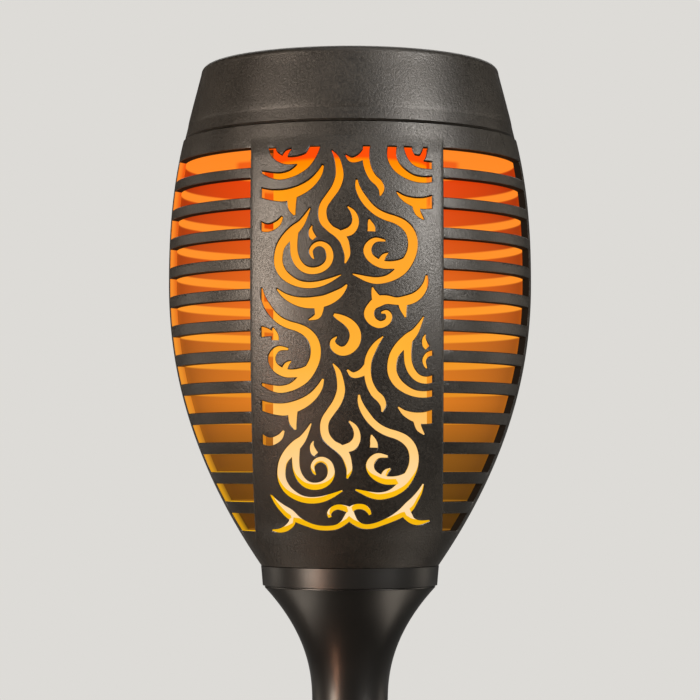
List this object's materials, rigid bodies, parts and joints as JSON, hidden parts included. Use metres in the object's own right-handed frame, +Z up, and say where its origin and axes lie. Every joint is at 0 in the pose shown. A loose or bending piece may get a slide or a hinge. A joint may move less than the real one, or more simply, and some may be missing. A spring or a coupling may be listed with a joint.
{
  "type": "solar garden torch",
  "caption": "Solar garden torch: an egg-shaped lantern with pierced scroll panels and side slots, glowing inside, under a twist-off solar cap, on a flared neck, plug-together pole and stake.",
  "frame": {"origin": "on the pole's axis at ground level, where the pole meets the top of the stake's collar", "axes": "+Z up along the pole's axis; -Y out of the front pierced panel; +X to the right when seen from the front"},
  "size_m": [0.125, 0.1264, 1.0891],
  "materials": {
    "shell_plastic": "fine-textured ABS, warm dark grey with a bronze cast",
    "pole_plastic": "smooth black plastic, half gloss",
    "housing_plastic": "moulded ABS, matt",
    "frosted_tube": "frosted translucent plastic, lit from inside",
    "amber_liner": "thin amber translucent sheet, lit from inside",
    "seal_rubber": "matt silicone",
    "solar_window": "clear resin over the cells",
    "solar_cell": "dark blue silicon with fine silver fingers",
    "backing_board": "white solder mask",
    "circuit_board": "green solder mask",
    "board_component": "moulded black components",
    "battery_wrap": "plain blue shrink sleeve",
    "contact_nickel": "nickel strip",
    "screw_steel": "zinc plated",
    "white_plastic": "natural white moulding",
    "button_plastic": "red moulding",
    "lead_sleeve": "smooth lead insulation",
    "light_chip": "yellow phosphor in a clear lens"
  },
  "bodies": {
    "stake": {"ground_stake": "pole_plastic"},
    "pole_low": {"lower_pole": "pole_plastic"},
    "pole_mid": {"middle_pole": "pole_plastic"},
    "pole_top": {"upper_pole": "pole_plastic"},
    "neck_body": {"neck": "pole_plastic"},
    "lantern": {"cage": "shell_plastic", "light_tube": "frosted_tube", "flame_liner": "amber_liner"},
    "seal": {"cap_seal": "seal_rubber"},
    "cap": {"top_cap": "shell_plastic", "solar_cover": "solar_window", "solar_cells": "solar_cell", "solar_backing": "backing_board", "control_housing": "housing_plastic", "housing_screws": "screw_steel", "battery_cell": "battery_wrap", "battery_contacts": "contact_nickel", "control_board": "circuit_board", "board_parts": "board_component", "board_screws": "screw_steel", "switch_body": "white_plastic", "panel_leads": "lead_sleeve", "battery_leads": "lead_sleeve", "led_leads": "lead_sleeve", "led_mast": "white_plastic", "led_board": "backing_board", "led_chips": "light_chip", "mast_end_cap": "white_plastic"},
    "button": {"push_button": "button_plastic", "switch_plunger": "white_plastic"}
  },
  "joints": [
    {"name": "lower_pole_pull", "type": "slide", "parent": "stake", "child": "pole_low", "axis": [0, 0, 1], "range_m": [0, 0.03]},
    {"name": "middle_pole_pull", "type": "slide", "parent": "pole_low", "child": "pole_mid", "axis": [0, 0, 1], "range_m": [0, 0.03]},
    {"name": "upper_pole_pull", "type": "slide", "parent": "pole_mid", "child": "pole_top", "axis": [0, 0, 1], "range_m": [0, 0.03]},
    {"name": "neck_pull", "type": "slide", "parent": "pole_top", "child": "neck_body", "axis": [0, 0, 1], "range_m": [0, 0.03]},
    {"name": "lantern_pull", "type": "slide", "parent": "neck_body", "child": "lantern", "axis": [0, 0, 1], "range_m": [0, 0.015]},
    {"name": "cap_lift", "type": "slide", "parent": "lantern", "child": "seal", "axis": [0, 0, 1], "range_m": [0, 0.14]},
    {"name": "cap_twist", "type": "hinge", "parent": "seal", "child": "cap", "pos_m": [0, 0, 0.8795], "axis": [0, 0, 1], "range_deg": [-20, 0]},
    {"name": "button_press", "type": "slide", "parent": "cap", "child": "button", "axis": [0, 0, 1], "range_m": [0, 0.0015], "stiffness_N_per_m": 900}
  ]
}
